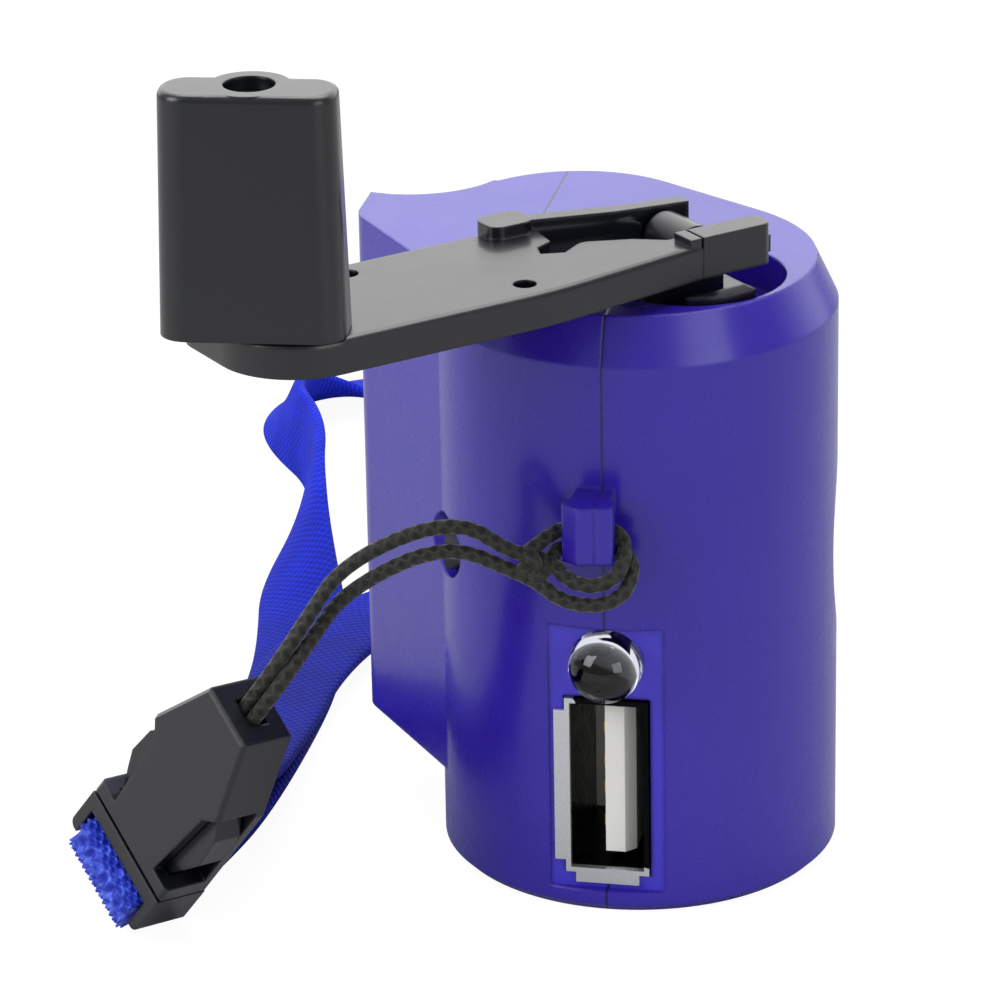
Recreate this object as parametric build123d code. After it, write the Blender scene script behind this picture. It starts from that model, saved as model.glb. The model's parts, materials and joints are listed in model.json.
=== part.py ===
from build123d import *
import math
import os

# Hand crank phone charger. Millimetres, +Z up. The origin is the centre of the front cylinder
# on the base plane, and -Y is the face with the socket. Each function makes one piece.

# ---- housing ----
FRONT_R = 13.9            # front cylinder
REAR_R = 10.4             # rear bulge over the generator
REAR_C = (-5.6, 8.05)
BODY_H = 43.5
BEVEL_H = 3.2
BEVEL_IN = 1.5
WALL = 1.5
ROOF_T = 1.6
SIDE_ANGLE = 191.5        # direction in which the flat left side faces
FLUTE_R = 7.0             # channel in which the folded knob stands
FLUTE_C = (-19.0, 16.9)
WING_BASE_Z = 6.0
WING_ROOT = (-12.6, -5.6)
WING_TIP = (-20.8, 5.33)
WING_TIP_R = 3.0
WING_EDGE_R = 0.5
BASE_EDGE_R = 0.6
JOG_FRONT = (0.0, -10.9)  # the joint between the shells steps left behind the panel
JOG_MID = (-2.6, -9.9)
JOG_BACK = (-7.75, 6.0)
GAP = 0.3                 # loose fit between pieces that only stand near each other
RUN = 0.05                # radial clearance of a shaft in its bore

# ---- socket panel ----
PANEL_Y = 0.8 - FRONT_R
PANEL_W = 8.0
PANEL_Z0 = 1.6
PANEL_Z1 = 21.3
PAD_W = 10.4
PAD_IN_Y = 2.6 - FRONT_R
USB_Z = 9.3
USB_W = 5.12              # opening across
USB_H = 12.4              # opening along Z
USB_T = 0.35              # sheet of the metal shell
USB_FRONT_Y = 0.5 - FRONT_R
USB_LEN = 13.7
USB_LIP = 0.75
LED_D = 5.0
LED_Z = 18.45
LED_DOME_Y = 0.3 - FRONT_R
LED_FLANGE_D = 5.8
LEAD_PITCH = 2.54

# ---- lug ----
LUG_W = 3.5
LUG_X = -0.5
LUG_Z0 = 27.5
LUG_Z1 = 31.6
LUG_T = 1.6
LUG_OUT_Y = -FRONT_R - 2.1 - LUG_T
LUG_RIDGE_X = -1.1        # the front of the post has a ridge here
NECK_W = 1.2
NECK_H = 1.7

# ---- crank ----
SHAFT_C = (4.5, -3.5)
ARM_ANGLE = 223.0
HUB_R = 5.9
WELL_R = HUB_R + 0.5
WELL_D = 2.8
HUB_TOP_Z = BODY_H + 0.4
HUB_CUT_S = -1.2          # the hub plate is cut away behind this line
STEM_R = 3.0
SHAFT_R = 1.0
SHAFT_TOP_Z = BODY_H - 5.1
HINGE_S = 1.0
HINGE_Z = HUB_TOP_Z + 2.0
HINGE_R = 0.75
POST_R = 1.75
POST_W = 3.8
ARM_Z0 = HUB_TOP_Z + 0.9
ARM_T = 2.4
ARM_END_S = 36.7
ARM_HALF_W = 6.2
PRONG_T = 2.0
PRONG_OUT = 4.3
PRONG_END_S = -3.6
PRONG_TOP_Z = ARM_Z0 + ARM_T + 0.5
REAR_PRONG_END_S = -1.1
REAR_PRONG_OUT = 3.3
PRONG_SWING = 5.15        # radius in the hub that the front prong clears as it swings
RIM_T = 0.9
RIM_TOP_Z = ARM_Z0 + ARM_T + 0.7
PIN_IN = 0.4              # the ends of the hinge pin lie this far inside the prongs
KNOB_AT = (34.3, 1.0)     # axis of the knob, along the arm and towards the front
KNOB_H = 16.2
KNOB_W = 11.5
KNOB_D = 4.4
KNOB_FOOT = (0.6, 1.4)    # the foot is wider and deeper than the top by this much
KNOB_CORNER = 1.9
KNOB_FORE = 0.6           # the grip stands this far in front of its screw
KNOB_BOSS_R = 2.7
KNOB_TURN = -38.0         # rest turn of the knob about its screw
KNOB_SCREW_R = 1.1
KNOB_HEAD_R = 1.6

# ---- gearbox ----
MODULE = 0.5
WHEEL_N = 24
PINION_N = 8
GEAR_T = 2.2
TRAIN_ANGLES = (161.9, 40.9, 151.8)   # heading from each axle to the next
AXLE_R = 0.75
COVER_Z = BODY_H - 5.8
PLATE_T = 1.4
LEVEL_STEP = GEAR_T + 0.6
LEVEL_1 = COVER_Z - 2.7
LEVEL_2 = LEVEL_1 - LEVEL_STEP
LEVEL_3 = LEVEL_2 - LEVEL_STEP
FRAME_Z = LEVEL_3 - 2.4
PILLAR_R = 1.3
PILLARS = ((-11.0, 3.5), (-2.2, -10.1), (10.8, 1.7), (-0.5, 13.2))
FRAME_SCREW_R = 0.55

# ---- generator ----
CAN_R = 7.1
CAN_FLAT = 5.6
CAN_LEN = 18.6
CAN_T = 0.5
CAP_T = 1.4
ROTOR_R = 4.6

# ---- board ----
BOARD_X = -3.6
BOARD_T = 1.2
BOARD_Y0 = 2.8 - FRONT_R
BOARD_Y1 = 0.8
BOARD_Z0 = 2.2
BOARD_Z1 = 20.4

# ---- shell screws: Y, Z, X of the head's seat and length under it ----
SCREWS = ((-6.3, 23.7, -11.0, 11.5), (15.0, BODY_H - 10.5, -9.6, 6.5), (11.5, 3.8, -10.6, 8.0))
SCREW_R = 0.85
SCREW_HEAD_R = 1.7
BOSS_R = 2.5
HEAD_WELL_R = 2.3

# ---- lanyard ----
CORD_D = 1.0
WEB_T = 1.2
WEB_W = 7.0
BUCKLE_NOSE = (-32.75, -19.57, 3.44)
BUCKLE_X = (-0.551, 0.292, -0.782)
BUCKLE_N = (-0.587, -0.800, 0.118)
BUCKLE_L = 19.7
BUCKLE_W = 9.4
BUCKLE_NECK = 4.9
BUCKLE_T = 4.4
FEMALE_L = 15.7
BUCKLE_GAP = 0.2          # between the halves where they meet
MALE_T = 4.2
BAR_T = 2.4
BAR_L = 0.8               # the bar that the webbing goes round, along the buckle
PRONG_H = 2.2


def circle_at(centre, radius):
    return Pos(*centre, 0) * Circle(radius)


def disc(centre, radius, z0, height):
    return Pos(centre[0], centre[1], z0 + height / 2) * Cylinder(radius, height)


def box(x0, x1, y0, y1, z0, z1):
    size = Box(x1 - x0, y1 - y0, z1 - z0)
    return Pos((x0 + x1) / 2, (y0 + y1) / 2, (z0 + z1) / 2) * size


def prism(plan, z0, height):
    return Pos(0, 0, z0) * extrude(plan, height, dir=(0, 0, 1))


def bar_x(x0, x1, y, z, radius):
    return Pos((x0 + x1) / 2, y, z) * Rot(0, 90, 0) * Cylinder(radius, x1 - x0)


def polar(angle, radius, centre=(0.0, 0.0)):
    turn = math.radians(angle)
    return (centre[0] + radius * math.cos(turn), centre[1] + radius * math.sin(turn))


CENTRES = MODULE * (WHEEL_N + PINION_N) / 2
IDLER_A = polar(TRAIN_ANGLES[0], CENTRES, SHAFT_C)
IDLER_B = polar(TRAIN_ANGLES[1], CENTRES, IDLER_A)
MOTOR_C = polar(TRAIN_ANGLES[2], CENTRES, IDLER_B)


# ------------------------------------------------------------------ housing outline


def hull_plan(grow=0.0):
    """The two circles and the quadrilateral between their common tangents."""
    r0 = FRONT_R + grow
    r1 = REAR_R + grow
    span = math.hypot(*REAR_C)
    axis = math.degrees(math.atan2(REAR_C[1], REAR_C[0]))
    lean = math.degrees(math.acos((r0 - r1) / span))
    corners = [polar(axis - lean, r0), polar(axis - lean, r1, REAR_C),
               polar(axis + lean, r1, REAR_C), polar(axis + lean, r0)]
    plan = circle_at((0, 0), r0) + circle_at(REAR_C, r1) + Polygon(*corners, align=None)
    beyond = Rot(0, 0, SIDE_ANGLE) * Pos(r0 + 20, 0) * Rectangle(40, 80)
    return plan - beyond


def wing_plan(grow=0.0):
    """The grip at the left that shelters the knob flute."""
    far = FLUTE_C[1] - 3.0
    corners = (WING_ROOT, WING_TIP, (WING_TIP[0], far), (REAR_C[0], far))
    plan = Polygon(*corners, align=None)
    tip = plan.vertices().sort_by_distance((*WING_TIP, 0))[0]
    plan = fillet(tip, WING_TIP_R)
    if grow:
        plan = offset(plan, grow)
    return plan


def flute(grow=0.0):
    return disc(FLUTE_C, FLUTE_R - grow, -1, BODY_H + 2)


def housing_outside():
    hull = extrude(hull_plan(), BODY_H)
    top = hull.faces().sort_by(Axis.Z)[-1]
    hull = chamfer(top.edges(), BEVEL_IN, BEVEL_H, reference=top)
    hull = chamfer(hull.faces().sort_by(Axis.Z)[0].edges(), BASE_EDGE_R)
    wing = prism(wing_plan(), WING_BASE_Z, BODY_H - WING_BASE_Z)
    return (hull + wing) - flute()


def housing_inside():
    roof = BODY_H - ROOF_T
    hull = prism(hull_plan(-WALL), WALL, roof - WALL)
    floor = WING_BASE_Z + WALL
    wing = prism(wing_plan(-WALL), floor, roof - floor)
    return (hull + wing) - flute(-WALL)


def side_of_joint(left):
    """Prism that holds one side of the stepped joint between the shells."""
    far = -60 if left else 60
    line = [(JOG_FRONT[0], -60), JOG_FRONT, JOG_MID, (JOG_MID[0], 0.0), JOG_BACK,
            (JOG_BACK[0], 60)]
    plan = Polygon(*line, (far, 60), (far, -60), align=None)
    return prism(plan, -1, BODY_H + 2)


# ------------------------------------------------------------------ housing details


def shaft_well():
    return disc(SHAFT_C, WELL_R, BODY_H - WELL_D, WELL_D + 1)


def well_block():
    """Cup under the roof that carries the hub, with the bearing collar for its stem."""
    return disc(SHAFT_C, WELL_R + 1.1, BODY_H - WELL_D - 1.3, WELL_D + 1.3)


def front_pad():
    return box(-PAD_W / 2, PAD_W / 2, -FRONT_R, PAD_IN_Y, WALL / 2, PANEL_Z1 + 1.2)


def panel_cuts():
    """Flat recess, socket window and lamp hole."""
    flat = box(-PANEL_W / 2, PANEL_W / 2, -FRONT_R - 5, PANEL_Y, PANEL_Z0, PANEL_Z1)
    half_w = USB_W / 2 + USB_T + 0.1
    half_h = USB_H / 2 + USB_T + 0.1
    window = box(-half_w, half_w, -FRONT_R - 5, PAD_IN_Y + 1, USB_Z - half_h, USB_Z + half_h)
    lamp = Pos(0, -12, LED_Z) * Rot(90, 0, 0) * Cylinder(LED_D / 2 + 0.05, 8)
    return flat + window + lamp


def lug():
    """Hook for the cord: a neck from the wall and a ridged post that hangs in front of it."""
    left = LUG_X - LUG_W / 2
    right = LUG_X + LUG_W / 2
    inner = LUG_OUT_Y + LUG_T
    outline = ((left, inner), (left, LUG_OUT_Y + 0.7), (LUG_RIDGE_X, LUG_OUT_Y),
               (right, LUG_OUT_Y + 0.35), (right, inner))
    post = prism(Polygon(*outline, align=None), LUG_Z0, LUG_Z1 - LUG_Z0)
    post = fillet(post.edges().filter_by(Axis.Z), 0.25)
    back = -FRONT_R + 1.0
    ends = ((left + 0.4, LUG_OUT_Y + LUG_T / 2), (right - 0.4, LUG_OUT_Y + LUG_T / 2),
            (LUG_X + NECK_W, back), (LUG_X - NECK_W, back))
    return post + prism(Polygon(*ends, align=None), LUG_Z1 - NECK_H, NECK_H)


def side_dish():
    """Shallow oval hollow in the right side, 0.45 deep."""
    oval = Plane.YZ * Ellipse(5.5, 7.6)
    cutter = Rot(0, 0, 20) * Pos(FRONT_R - 2, 0, 22.5) * extrude(oval, 6)
    return cutter - disc((0, 0), FRONT_R - 0.45, 0, BODY_H)


def joint_x(place_y):
    """Where the joint between the shells lies at a screw."""
    return JOG_MID[0] if place_y < 0 else JOG_BACK[0]


def shell_bosses(left):
    """Bosses for the three shell screws, on the side asked for."""
    parts = []
    for place_y, place_z, head_x, length in SCREWS:
        joint = joint_x(place_y)
        x0, x1 = (head_x - 3.0, joint) if left else (joint, head_x + length + 0.8)
        parts.append(bar_x(x0, x1, place_y, place_z, BOSS_R))
    if not left:
        place_y, place_z, head_x, length = SCREWS[0]
        parts.append(box(JOG_MID[0], head_x + length, -FRONT_R + 0.5, place_y - 1.5,
                         place_z - 1.2, place_z + 1.2))
    return parts


def screw_cuts(left):
    """Clearance hole and head well on the left, thread hole on the right."""
    parts = []
    for place_y, place_z, head_x, length in SCREWS:
        joint = joint_x(place_y)
        end = head_x + length + 0.3
        if left:
            parts.append(bar_x(head_x - 0.1, joint + 1, place_y, place_z, SCREW_R + 0.1))
            parts.append(bar_x(head_x - 9, head_x, place_y, place_z, HEAD_WELL_R))
        else:
            parts.append(bar_x(joint - 1, end, place_y, place_z, SCREW_R))
    return parts


def inner_ribs():
    """Ledges under the gear frame, a seat for the generator and rails for the board."""
    shelf = FRAME_Z - 0.1
    plan = hull_plan(-WALL + 0.2) - hull_plan(-WALL - 1.2)
    ledge = prism(plan - can_plan(-GAP), shelf - 1.5, 1.5)
    ledge = ledge - box(-PAD_W / 2 - 1, PAD_W / 2, -30, -9, 0, 60)
    foot = FRAME_Z - CAN_LEN - CAP_T - 0.1
    seats = [box(MOTOR_C[0] + dx - 0.6, MOTOR_C[0] + dx + 0.6, MOTOR_C[1] - 5, MOTOR_C[1] + 5,
                 WALL - 0.2, foot) for dx in (-6.0, 5.5)]
    rail_z = BOARD_Z0 - 0.1
    rail = box(BOARD_X - BOARD_T - 1.2, BOARD_X + 0.8, -8.0, 0.0, WALL - 0.2, rail_z)
    return [ledge, rail] + seats


def shell(left):
    outside = housing_outside()
    body = outside - housing_inside()
    for extra in [well_block(), front_pad()] + inner_ribs() + shell_bosses(left):
        body = body + (extra & outside)
    body = body + lug()
    body = body & side_of_joint(left)
    for cut in [shaft_well(), panel_cuts(), side_dish()] + screw_cuts(left):
        body = body - cut
    return largest(body - disc(SHAFT_C, STEM_R + RUN, 30, 20))


def largest(shape):
    """The main solid, without slivers that the cuts leave behind."""
    return shape.solids().sort_by(SortBy.VOLUME)[-1]


# ------------------------------------------------------------------ gears


def flank(number, tip, root):
    """Half angles of one tooth at rising radii, from the involute of a 20 degree rack."""
    pitch = MODULE * number / 2
    base = pitch * math.cos(math.radians(20))
    slim = 0.86
    half = math.pi / (2 * number) * slim

    def involute(radius):
        lean = math.acos(min(1.0, base / radius))
        return math.tan(lean) - lean

    radii = [root] + [r for r in (base, pitch) if root < r < tip] + [tip]
    return [(r, half + involute(pitch) - involute(max(r, base))) for r in radii]


def gear_plan(number, phase):
    """Outline of a spur gear with a tooth centred on the angle phase."""
    pitch = MODULE * number / 2
    tip = pitch + 0.88 * MODULE
    root = pitch - 1.15 * MODULE
    side = flank(number, tip, root)
    points = []
    for tooth in range(number):
        centre = phase + 360 * tooth / number
        rising = [(r, -half) for r, half in side]
        falling = [(r, half) for r, half in reversed(side)]
        for radius, half in rising + falling:
            points.append(polar(centre + math.degrees(half), radius))
    return Polygon(*points, align=None)


def gear(number, phase, z0, height):
    return prism(gear_plan(number, phase), z0, height)


def mesh_phase(phase, number, next_number, heading):
    """Phase of the next gear that puts a gap where this gear has a tooth."""
    pitch = 360 / number
    late = (heading - phase) % pitch
    return heading + 180 + late * number / next_number + 180 / next_number


def heading(start, end):
    return math.degrees(math.atan2(end[1] - start[1], end[0] - start[0]))


PHASE_C = heading(SHAFT_C, IDLER_A)
PHASE_A = mesh_phase(PHASE_C, WHEEL_N, PINION_N, heading(SHAFT_C, IDLER_A))
PHASE_A_WHEEL = heading(IDLER_A, IDLER_B)
PHASE_B = mesh_phase(PHASE_A_WHEEL, WHEEL_N, PINION_N, heading(IDLER_A, IDLER_B))
PHASE_B_WHEEL = heading(IDLER_B, MOTOR_C)
PHASE_M = mesh_phase(PHASE_B_WHEEL, WHEEL_N, PINION_N, heading(IDLER_B, MOTOR_C))


def web_cuts(z0):
    """Ring groove that leaves a thin web between hub and rim."""
    outer = MODULE * WHEEL_N / 2 - 1.5
    groove = Pos(0, 0, z0) * (Cylinder(outer, 0.7, align=(Align.CENTER, Align.CENTER, Align.MIN)))
    hub = Pos(0, 0, z0) * Cylinder(2.9, 0.7, align=(Align.CENTER, Align.CENTER, Align.MIN))
    return groove - hub


def crank_gear():
    wheel = gear(WHEEL_N, PHASE_C, LEVEL_1, GEAR_T)
    wheel = wheel - web_cuts(LEVEL_1 + GEAR_T - 0.7)
    wheel = Pos(*SHAFT_C, 0) * wheel
    socket = disc(SHAFT_C, 1.9, LEVEL_1 + 0.8, GEAR_T)
    flat = box(SHAFT_C[0] + 1.4, SHAFT_C[0] + 4, SHAFT_C[1] - 4, SHAFT_C[1] + 4, 0, 60)
    return wheel - (socket - flat) - disc(SHAFT_C, SHAFT_R + 0.01, 20, 30)


def idler(centre, wheel_phase, pinion_phase, level):
    """Wheel with the pinion of the stage above it, on one hub."""
    wheel = gear(WHEEL_N, wheel_phase, level, GEAR_T)
    wheel = wheel - web_cuts(level)
    pinion = gear(PINION_N, pinion_phase, level + GEAR_T, 3.0)
    bore = Cylinder(AXLE_R + RUN, 100)
    return Pos(*centre, 0) * (wheel + pinion - bore)


def motor_pinion():
    pinion = gear(PINION_N, PHASE_M, LEVEL_3 - 0.3, GEAR_T + 0.5)
    return Pos(*MOTOR_C, 0) * (pinion - Cylinder(SHAFT_R * 0.75, 100))


# ------------------------------------------------------------------ gearbox


def plate_plan():
    return hull_plan(-WALL - GAP)


def plate(z0):
    """Flat plate that fills the shells, cleared for the bosses and the flute wall."""
    body = prism(plate_plan(), z0, PLATE_T)
    return body - flute(-WALL - GAP)


def gear_frame():
    body = plate(FRAME_Z)
    for spot in PILLARS:
        body = body + disc(spot, PILLAR_R, FRAME_Z, COVER_Z - FRAME_Z)
        body = body - disc(spot, FRAME_SCREW_R, COVER_Z - 5, 6)
    body = body - disc(SHAFT_C, SHAFT_R + RUN, FRAME_Z - 1, PLATE_T + 2)
    body = body - disc(MOTOR_C, 2.6, FRAME_Z - 1, PLATE_T + 2)
    for centre in (IDLER_A, IDLER_B):
        body = body - disc(centre, AXLE_R, FRAME_Z + 0.4, PLATE_T)
    for dx in (-5.0, 5.0):
        spot = (MOTOR_C[0] + dx, MOTOR_C[1])
        body = body - disc(spot, 0.8, FRAME_Z - 1, PLATE_T + 2)
        body = body - disc(spot, 1.5, FRAME_Z + PLATE_T - 0.7, 1)
    return largest(body)


def gear_cover():
    body = plate(COVER_Z)
    body = body - disc(SHAFT_C, STEM_R + 0.1, COVER_Z - 1, PLATE_T + 2)
    for spot in PILLARS:
        body = body - disc(spot, 0.65, COVER_Z - 1, PLATE_T + 2)
        body = body - disc(spot, 1.1, COVER_Z + PLATE_T - 0.6, 1)
    for centre in (IDLER_A, IDLER_B):
        body = body - disc(centre, AXLE_R, COVER_Z - 1, PLATE_T + 0.6)
    return largest(body)


def frame_screws():
    """Four small screws that hold the cover on the pillars."""
    screws = []
    for spot in PILLARS:
        head = disc(spot, 1.05, COVER_Z + PLATE_T - 0.6, 0.5)
        shank = disc(spot, FRAME_SCREW_R, COVER_Z - 3.5, 3.5 + PLATE_T - 0.6)
        screws.append(head + shank)
    return Compound(children=screws)


def idler_axles():
    """Two steel pins held between the plates."""
    z0 = FRAME_Z + 0.4
    top = COVER_Z + PLATE_T - 0.4
    return Compound(children=[disc(c, AXLE_R, z0, top - z0) for c in (IDLER_A, IDLER_B)])


# ------------------------------------------------------------------ generator


def can_plan(shrink=0.0):
    flats = Rectangle(40, 2 * (CAN_FLAT - shrink))
    return Pos(*MOTOR_C) * (Circle(CAN_R - shrink) & flats)


def motor_can():
    """Drawn steel can, open below, with a bearing neck above."""
    z0 = FRAME_Z - CAN_LEN
    can = prism(can_plan(), z0, CAN_LEN)
    room = prism(can_plan(CAN_T), z0 - 1, CAN_LEN + 1 - CAN_T)
    can = can - room + disc(MOTOR_C, 2.4, FRAME_Z, 0.9)
    can = can - disc(MOTOR_C, SHAFT_R * 0.75 + RUN, z0, CAN_LEN + 5)
    for dx in (-5.0, 5.0):
        can = can - disc((MOTOR_C[0] + dx, MOTOR_C[1]), 0.6, FRAME_Z - 2, 3)
    return can


def motor_cap():
    """Plastic end cap with the lower bearing and two terminal slots."""
    z0 = FRAME_Z - CAN_LEN - CAP_T
    cap = prism(can_plan(), z0, CAP_T)
    plug = prism(can_plan(CAN_T + RUN), z0 + CAP_T, 1.2)
    neck = disc(MOTOR_C, 2.0, z0 - 0.4, 0.4)
    return cap + plug + neck - disc(MOTOR_C, SHAFT_R * 0.75 + RUN, z0 + 0.2, 6)


def motor_magnets():
    """Two arc magnets against the round sides of the can."""
    z0 = FRAME_Z - CAN_LEN + 2.4
    outer = Circle(CAN_R - CAN_T - 0.03) - Circle(CAN_R - CAN_T - 1.7)
    sides = []
    for sign in (-1, 1):
        arc = outer & (Pos(sign * 8, 0) * Rectangle(7.4, 7.6))
        sides.append(Pos(*MOTOR_C, z0) * extrude(arc, 11.5))
    return Compound(children=sides)


def motor_rotor():
    """Three-pole armature, commutator and the shaft that carries the pinion."""
    z0 = FRAME_Z - CAN_LEN - CAP_T + 0.3
    shaft = disc(MOTOR_C, SHAFT_R * 0.75, z0, LEVEL_3 + GEAR_T + 0.4 - z0)
    core_z = FRAME_Z - CAN_LEN + 4.0
    commutator = disc(MOTOR_C, 1.6, core_z - 2.4, 2.4)
    poles = Circle(1.5)
    face = Circle(ROTOR_R) - Circle(ROTOR_R - 0.9)
    for turn in (0, 120, 240):
        arm = Rot(0, 0, turn) * Pos(ROTOR_R / 2 - 0.3, 0) * Rectangle(ROTOR_R - 0.6, 1.3)
        shoe = face & (Rot(0, 0, turn) * Pos(4, 0) * Rectangle(4.0, 5.6))
        poles = poles + arm + shoe
    core = Pos(*MOTOR_C, core_z) * extrude(poles, 8.6)
    return shaft + commutator + core


def motor_screws():
    """Two flat-headed screws through the frame into the can."""
    screws = []
    for dx in (-5.0, 5.0):
        spot = (MOTOR_C[0] + dx, MOTOR_C[1])
        head = disc(spot, 1.4, FRAME_Z + PLATE_T - 0.7, 0.6)
        screws.append(head + disc(spot, 0.6, FRAME_Z - 0.5, PLATE_T - 0.2))
    return Compound(children=screws)


# ------------------------------------------------------------------ socket and board


def usb_shell():
    """Folded metal shell with lips that spread over the panel on three sides."""
    half_w = USB_W / 2 + USB_T
    half_h = USB_H / 2 + USB_T
    y1 = USB_FRONT_Y + USB_LEN
    outer = box(-half_w, half_w, USB_FRONT_Y, y1, USB_Z - half_h, USB_Z + half_h)
    inner = box(-USB_W / 2, USB_W / 2, USB_FRONT_Y - 1, y1 + 1,
                USB_Z - USB_H / 2, USB_Z + USB_H / 2)
    lip_y = (USB_FRONT_Y, PANEL_Y - 0.02)
    left = box(-half_w - USB_LIP, -half_w, *lip_y, USB_Z - half_h + 0.9, USB_Z + half_h - 0.9)
    foot = box(-half_w + 0.7, half_w - 0.7, *lip_y, USB_Z - half_h - USB_LIP, USB_Z - half_h)
    return outer - inner + left + foot


def usb_insulator():
    """Cream block at the back with the tongue that carries the contacts."""
    y1 = USB_FRONT_Y + USB_LEN - 0.1
    half_h = USB_H / 2 - 0.02
    block = box(-USB_W / 2 + 0.02, USB_W / 2 - 0.02, y1 - 3.6, y1, USB_Z - half_h, USB_Z + half_h)
    tongue = box(-0.35, 1.7, USB_FRONT_Y + 1.5, y1 - 3.5, USB_Z - 5.5, USB_Z + 5.5)
    front = tongue.faces().sort_by(Axis.Y)[0].edges().sort_by(Axis.X)[-1]
    return block + chamfer(front, 0.7)


def usb_contacts():
    """Four strips on the tongue, with tails that reach the board behind the socket."""
    y1 = USB_FRONT_Y + USB_LEN
    strips = []
    for dz in (-3.5, -1.0, 1.0, 3.5):
        z0 = USB_Z + dz - 0.4
        strip = box(-0.55, -0.35, USB_FRONT_Y + 2.3, y1 + 0.4, z0, z0 + 0.8)
        tail = box(BOARD_X, -0.35, y1 + 0.1, y1 + 0.4, z0, z0 + 0.8)
        strips.append(strip + tail)
    return strips


def usb_contact_set():
    return Compound(children=usb_contacts())


def usb_insulator_cut():
    body = usb_insulator()
    for strip in usb_contacts():
        body = body - strip
    return largest(body)


def led():
    """Clear dome, barrel and flange, on two leads that turn towards the board."""
    flange_y = PAD_IN_Y + 0.05
    barrel_len = flange_y + 1.0 - LED_DOME_Y
    turn = Rot(90, 0, 0)
    dome = Pos(0, LED_DOME_Y, LED_Z) * Sphere(LED_D / 2)
    dome = dome & box(-5, 5, -20, LED_DOME_Y, LED_Z - 5, LED_Z + 5)
    barrel = Pos(0, LED_DOME_Y + barrel_len / 2, LED_Z) * turn * Cylinder(LED_D / 2, barrel_len)
    flange = Pos(0, flange_y + 0.5, LED_Z) * turn * Cylinder(LED_FLANGE_D / 2, 1.0)
    flange = flange & box(-5, 5, -20, 0, LED_Z - LED_D / 2, LED_Z + 5)
    body = dome + barrel + flange
    for dz in (-LEAD_PITCH / 2, LEAD_PITCH / 2):
        z0 = LED_Z + dz - 0.25
        body = body + box(-0.25, 0.25, flange_y + 0.8, -8.0, z0, z0 + 0.5)
        body = body + box(BOARD_X, 0.25, -8.5, -8.0, z0, z0 + 0.5)
    return body


def circuit_board():
    return box(BOARD_X - BOARD_T, BOARD_X, BOARD_Y0, BOARD_Y1, BOARD_Z0, BOARD_Z1)


def capacitor():
    """Electrolytic can that lies along Z on the board."""
    x = BOARD_X - BOARD_T - 2.05
    return Pos(x, -3.2, 6.4) * fillet(Cylinder(2.0, 6.5).edges(), 0.35)


def regulator():
    """Small converter chip with its five legs."""
    x1 = BOARD_X - BOARD_T
    chip = box(x1 - 1.2, x1 - 0.1, -8.0, -6.3, 12.0, 14.9)
    for z in (12.4, 13.35, 14.3):
        chip = chip + box(x1 - 0.6, x1, -8.6, -5.7, z, z + 0.3)
    return chip


def inductor():
    x1 = BOARD_X - BOARD_T
    body = box(x1 - 2.2, x1, -5.0, -1.2, 12.2, 16.0)
    return fillet(body.edges().filter_by(Axis.X), 0.8)


def diodes():
    """Four rectifier diodes in a row."""
    x1 = BOARD_X - BOARD_T
    row = [box(x1 - 1.0, x1, -9.0, -7.6, z, z + 1.9) for z in (3.0, 5.3, 7.6, 9.9)]
    return Compound(children=row)


# ------------------------------------------------------------------ crank


def to_crank(shape):
    """Places a piece that is drawn along the arm: +X towards the knob, +Y towards the front."""
    return Pos(*SHAFT_C, 0) * Rot(0, 0, ARM_ANGLE) * shape


def hinge_bar(radius, w0, length):
    """Cylinder about the hinge, from w0 towards the front."""
    middle = w0 + length / 2 if w0 else 0
    return Pos(HINGE_S, middle, HINGE_Z) * Rot(90, 0, 0) * Cylinder(radius, length)


def crank_hub():
    """Disc in the well, cut away behind, with the hinge post above and the stem below."""
    floor = BODY_H - WELL_D
    low = disc((0, 0), HUB_R - 1.6, floor + 0.1, 0.9)
    plate_part = disc((0, 0), HUB_R, floor + 0.5, HUB_TOP_Z - floor - 0.5)
    plate_part = plate_part - box(-20, HUB_CUT_S, -20, 20, 0, 60)
    post = hinge_bar(POST_R, 0, POST_W)
    web = box(HINGE_S - POST_R, HINGE_S + POST_R, -POST_W / 2, POST_W / 2, floor + 0.5, HINGE_Z)
    low_web = box(-3.0, HUB_CUT_S + 0.5, -1.9, 1.9, floor + 0.5, HUB_TOP_Z - 1.2)
    stem = disc((0, 0), STEM_R, COVER_Z - 0.2, floor - COVER_Z + 0.4)
    tang = disc((0, 0), 1.9, LEVEL_1 + 0.9, COVER_Z - LEVEL_1 - 0.9)
    tang = tang - box(1.4, 4, -4, 4, 0, 60)
    tang = Rot(0, 0, -ARM_ANGLE) * tang
    pin = hinge_bar(HINGE_R + RUN, 0, 20)
    swing = hinge_bar(PRONG_SWING, 1.95, 2.65) + hinge_bar(3.2, -4.6, 2.65)
    body = (low + plate_part - swing) + post + web + low_web + stem + tang - pin
    return to_crank(body - disc((0, 0), SHAFT_R + 0.01, 20, SHAFT_TOP_Z - 19.9))


def crank_shaft():
    """Steel pin from the hub through the gear to the frame."""
    return disc(SHAFT_C, SHAFT_R, FRAME_Z + 0.1, SHAFT_TOP_Z - FRAME_Z - 0.1)


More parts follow.
